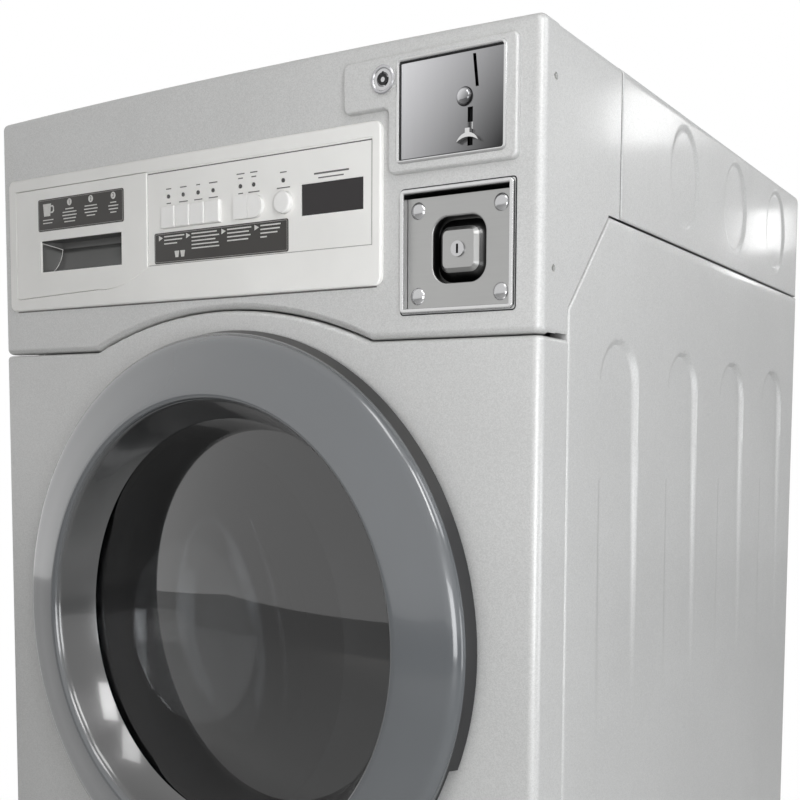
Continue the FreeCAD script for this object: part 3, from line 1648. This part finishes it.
def damper_rods():
    """Rods from the tub's lower ears down into the dampers."""
    y = behind(suspension_behind)
    low = base_top + damper_height - damper_overlap
    rods = [along_z(x, y, damper_rod_r, low, damper_lug_z(x)) for x in (damper_x, -damper_x)]
    return Part.makeCompound(rods)


def inlet_valve():
    """Twin water valve inside the rear panel, with two ports through it."""
    w = inlet_pitch / 2 + 2 * inlet_r
    h = inlet_height / 2
    pieces = [box(inlet_x - w, inlet_x + w, pan_front - inlet_depth, pan_front, inlet_z - h, inlet_z + h)]
    for x, z in inlet_places():
        pieces.append(along_y(x, z, inlet_r - port_step, pan_front, pan_front + sheet))
        pieces.append(along_y(x, z, inlet_r, pan_front + sheet, pan_back))
    valve = joined(pieces)
    for x, z in inlet_places():
        valve = valve.cut(along_y(x, z, 0.6 * inlet_r, pan_front, pan_back))
    return valve


def fill_hose():
    """Hose from the inlet valve to the dispenser."""
    y0 = behind(tray_depth + 2 * grip_depth) - housing_wall
    return tube_y(inlet_x, inlet_z + fill_rise, fill_r, fill_r - fill_wall, y0, pan_front - inlet_depth)


def dispenser_hose():
    """Hose from the dispenser's outlet to the tub's inlet spigot."""
    surface = drum_z + math.sqrt(tub_r ** 2 - (feed_x - drum_x) ** 2)
    inner = feed_r + hose_fit
    top = tray_floor_z - tray_fit - housing_wall - hose_fit
    return tube_z(feed_x, behind(feed_behind), inner + hose_wall, inner, surface + 0.65 * tub_spigot, top)


def pump_top():
    """Top of the drain pump's body."""
    return base_top + pump_height


def sump_hose():
    """Hose from the tub's sump to the drain pump."""
    surface = drum_z - math.sqrt(tub_r ** 2 - (sump_x - drum_x) ** 2)
    inner = sump_r + hose_fit
    low = pump_top() + hose_fit
    high = surface - 0.55 * tub_spigot
    return tube_z(sump_x, behind(sump_behind), inner + hose_wall, inner, low, high)


def drain_pump():
    """Drain pump on the base frame, with an inlet above and a spigot out through the rear panel."""
    y = behind(sump_behind)
    w = pump_width / 2
    d = pump_depth / 2
    body = box(sump_x - w, sump_x + w, y - d, y + d, base_top, pump_top())
    inlet = along_z(sump_x, y, sump_r, pump_top(), pump_top() + pump_inlet)
    pipe = along_y(sump_x, drain_z, drain_r - port_step, y + d, pan_front + sheet)
    spigot = along_y(sump_x, drain_z, drain_r, pan_front + sheet, pan_back)
    pump = joined([body, inlet, pipe, spigot])
    pump = pump.cut(along_z(sump_x, y, sump_r - feed_wall, drain_z, pump_top() + pump_inlet))
    return pump.cut(along_y(sump_x, drain_z, drain_r - port_step - drain_wall, y, pan_back))


def cord_gland():
    """Gland in the rear panel for the mains cord."""
    y1 = pan_front + sheet
    gland = joined([
        along_y(gland_x, gland_z, gland_r - 3, pan_front, y1),
        along_y(gland_x, gland_z, gland_r, y1, y1 + gland_proud),
    ])
    return gland.cut(along_y(gland_x, gland_z, gland_bore_r, pan_front - 1, y1 + gland_proud))


def panel_screws():
    """Screw heads on the rear panel and rivet heads on the console's band."""
    screws = []
    y = pan_front + sheet
    for x in (-half + 2 * flange, 0.0, half - 2 * flange):
        for z in (base_top + flange, drum_z, side_top - 2 * flange):
            screws.append(along_y(x, z, screw_r, y, y + screw_head))
    rivet_y = behind(console_band) - 2.4 * rivet_r
    for z in (seam_z + 2 * console_band, cabinet_height - 1.85 * console_band):
        for side in (-1, 1):
            x = side * half
            inner = side * (half - rivet_head)
            screws.append(along_x(rivet_y, z, rivet_r, min(x, inner), max(x, inner)))
    return Part.makeCompound(screws)


def console_with_rivet_seats():
    """Console shell with a shallow seat for each rivet head."""
    shell = console_shell()
    for rivet in panel_screws().Solids:
        if rivet.CenterOfMass.y < 0:
            shell = shell.cut(rivet)
    return shell


nodes = {
    "base_frame": base_frame,
    "levelling_feet": levelling_feet,
    "right_side_panel": right_side_panel,
    "left_side_panel": lambda: mirrored(right_side_panel()),
    "rear_panel": rear_panel,
    "front_panel": front_panel,
    "console_shell": console_with_rivet_seats,
    "top_cover": top_cover,
    "control_fascia": control_fascia,
    "display_window": display_window,
    "indicator_leds": indicator_leds,
    "control_board": control_board,
    "dispenser_housing": dispenser_housing,
    "drawer_front": drawer_front,
    "drawer_tray": drawer_tray,
    "start_button": start_key,
    "coin_bezel": coin_bezel,
    "coin_drop_plate": coin_drop_plate,
    "coin_acceptor": coin_acceptor,
    "coin_return_lever": coin_return_lever,
    "coin_lock_plug": coin_lock_plug,
    "vault_housing": vault_housing,
    "coin_box": coin_box,
    "vault_lock_plug": vault_lock_plug,
    "door_ring": door_ring,
    "door_rear_frame": door_rear_frame,
    "door_glass": door_glass,
    "hinge_bracket": hinge_bracket,
    "hinge_leaf": hinge_leaf,
    "latch_hook": latch_hook,
    "door_interlock": door_interlock,
    "door_gasket": door_gasket,
    "tub_front": tub_front,
    "tub_rear": tub_rear,
    "counterweights": counterweights,
    "shaft_bearings": shaft_bearings,
    "drum_shell": drum_shell,
    "drum_lifters": drum_lifters,
    "drum_spider": drum_spider,
    "drum_pulley": drum_pulley,
    "drive_motor": drive_motor,
    "motor_pulley": motor_pulley,
    "drive_belt": drive_belt,
    "top_brace": top_brace,
    "suspension_springs": suspension_springs,
    "damper_cylinders": damper_cylinders,
    "damper_rods": damper_rods,
    "inlet_valve": inlet_valve,
    "fill_hose": fill_hose,
    "dispenser_hose": dispenser_hose,
    "sump_hose": sump_hose,
    "drain_pump": drain_pump,
    "cord_gland": cord_gland,
    "panel_screws": panel_screws,
}
for number in range(cycle_keys):
    nodes["cycle_button_%d" % (number + 1)] = lambda n=number: key_cap(*cycle_span(n))
for number in range(2):
    nodes["option_button_%d" % (number + 1)] = lambda n=number: option_key(n)

os.makedirs("parts", exist_ok=True)
for name, make in nodes.items():
    shape = make()
    print(name, "solids", len(shape.Solids), "valid", shape.isValid(), "volume", round(shape.Volume))
    shape.exportStep("parts/" + name + ".step")
